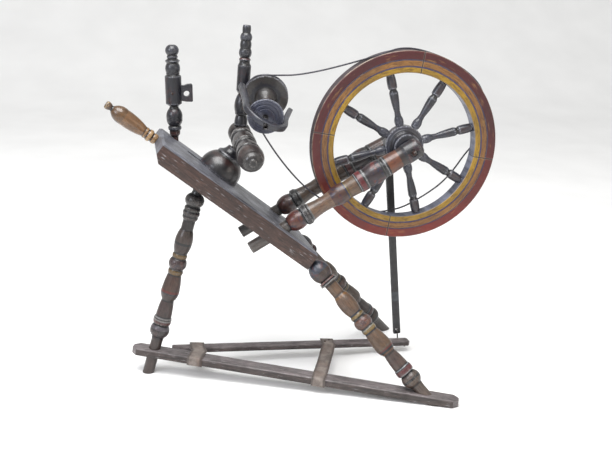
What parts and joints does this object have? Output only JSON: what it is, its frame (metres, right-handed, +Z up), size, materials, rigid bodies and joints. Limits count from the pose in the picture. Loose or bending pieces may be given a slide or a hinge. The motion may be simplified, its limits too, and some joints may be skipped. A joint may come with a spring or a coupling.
{
  "type": "treadle spinning wheel",
  "caption": "Sloping-table treadle spinning wheel on turned legs with a spoked drive wheel, flyer, bobbin, tension screw and an upright in the distaff hole.",
  "frame": {"origin": "on the floor, under the middle of the whole object's bounding box", "axes": "+X along the drive wheel's plane towards the wheel, +Y along the wheel's axle away from the side that carries the front bar, +Z up"},
  "size_m": [0.945, 0.5144, 0.8482],
  "materials": {
    "dark_wood": "worn, dark brown to black",
    "brown_wood": "worn brown with painted rings",
    "painted_rim": "painted red, ochre and yellow bands",
    "grey_wood": "weathered grey",
    "tan_wood": "polished tan",
    "iron": "dark, worn",
    "leather": "old grey leather",
    "cord": "dark cord"
  },
  "bodies": {
    "frame": {"table": "grey_wood", "left_leg": "brown_wood", "front_leg": "brown_wood", "back_leg": "brown_wood", "near_post": "brown_wood", "far_post": "brown_wood", "front_bar": "grey_wood", "strap_loop": "leather", "wrap_loop": "leather", "drive_band": "cord"},
    "wheel": {"axle": "iron", "hub": "dark_wood", "spoke_1": "dark_wood", "spoke_2": "dark_wood", "spoke_3": "dark_wood", "spoke_4": "dark_wood", "spoke_5": "dark_wood", "spoke_6": "dark_wood", "spoke_7": "dark_wood", "spoke_8": "dark_wood", "felloe_1": "painted_rim", "felloe_2": "painted_rim", "felloe_3": "painted_rim", "felloe_4": "painted_rim"},
    "footman": {"footman_stick": "dark_wood", "footman_tie": "leather", "footman_hook": "iron"},
    "mother": {"collar": "dark_wood", "mother_bar": "brown_wood", "slide_block": "dark_wood", "rear_maiden": "dark_wood", "rear_bearing": "dark_wood"},
    "bobbin": {"whorl": "dark_wood", "bobbin_core": "dark_wood", "bobbin_flange": "dark_wood"},
    "flyer": {"flyer_spindle": "iron", "flyer_fork": "dark_wood", "flyer_hooks": "iron"},
    "screw": {"tension_screw": "dark_wood", "screw_handle": "tan_wood"},
    "treadle": {"treadle_arm": "grey_wood", "strap_tongue": "leather", "wrap_tongue": "leather", "treadle_nails": "iron", "treadle_peg": "dark_wood"},
    "distaff": {"distaff_post": "dark_wood", "distaff_tab": "dark_wood", "distaff_nail": "iron"}
  },
  "joints": [
    {"name": "wheel_spin", "type": "hinge", "parent": "frame", "child": "wheel", "pos_m": [0.24249, 0.00845, 0.5802], "axis": [0, 1, 0], "continuous": true},
    {"name": "footman_swing", "type": "hinge", "parent": "wheel", "child": "footman", "pos_m": [0.23589, 0.11465, 0.54075], "axis": [0, 1, 0], "continuous": true},
    {"name": "treadle_hinge", "type": "hinge", "parent": "frame", "child": "treadle", "pos_m": [-0.02995, -0.08229, 0.04149], "axis": [0.9411, -0.3329, -0.059], "range_deg": [0, 15]},
    {"name": "mother_slide", "type": "slide", "parent": "frame", "child": "mother", "axis": [0.8089, 0, -0.5879], "range_m": [-0.012, 0.012], "deforming": ["drive_band"]},
    {"name": "bobbin_spin", "type": "hinge", "parent": "mother", "child": "bobbin", "pos_m": [-0.09281, 0.05845, 0.685], "axis": [0.1341, 0.9707, 0.1992], "continuous": true},
    {"name": "flyer_spin", "type": "hinge", "parent": "mother", "child": "flyer", "pos_m": [-0.09281, 0.05845, 0.685], "axis": [0.1341, 0.9707, 0.1992], "continuous": true},
    {"name": "screw_turn", "type": "hinge", "parent": "frame", "child": "screw", "pos_m": [-0.35265, 0.03845, 0.57972], "axis": [0.8089, 0, -0.5879], "range_deg": [-541, 541]},
    {"name": "distaff_turn", "type": "hinge", "parent": "frame", "child": "distaff", "pos_m": [-0.30471, 0.09045, 0.57251], "axis": [-0.0454, 0, 0.999], "range_deg": [-90, 90]}
  ],
  "couplings": [
    {"joint": "footman_swing", "follows": "wheel_spin", "ratio": -1},
    {"joint": "bobbin_spin", "follows": "wheel_spin", "ratio": 4.667},
    {"joint": "screw_turn", "follows": "mother_slide", "rad_per_m": 785.4}
  ]
}
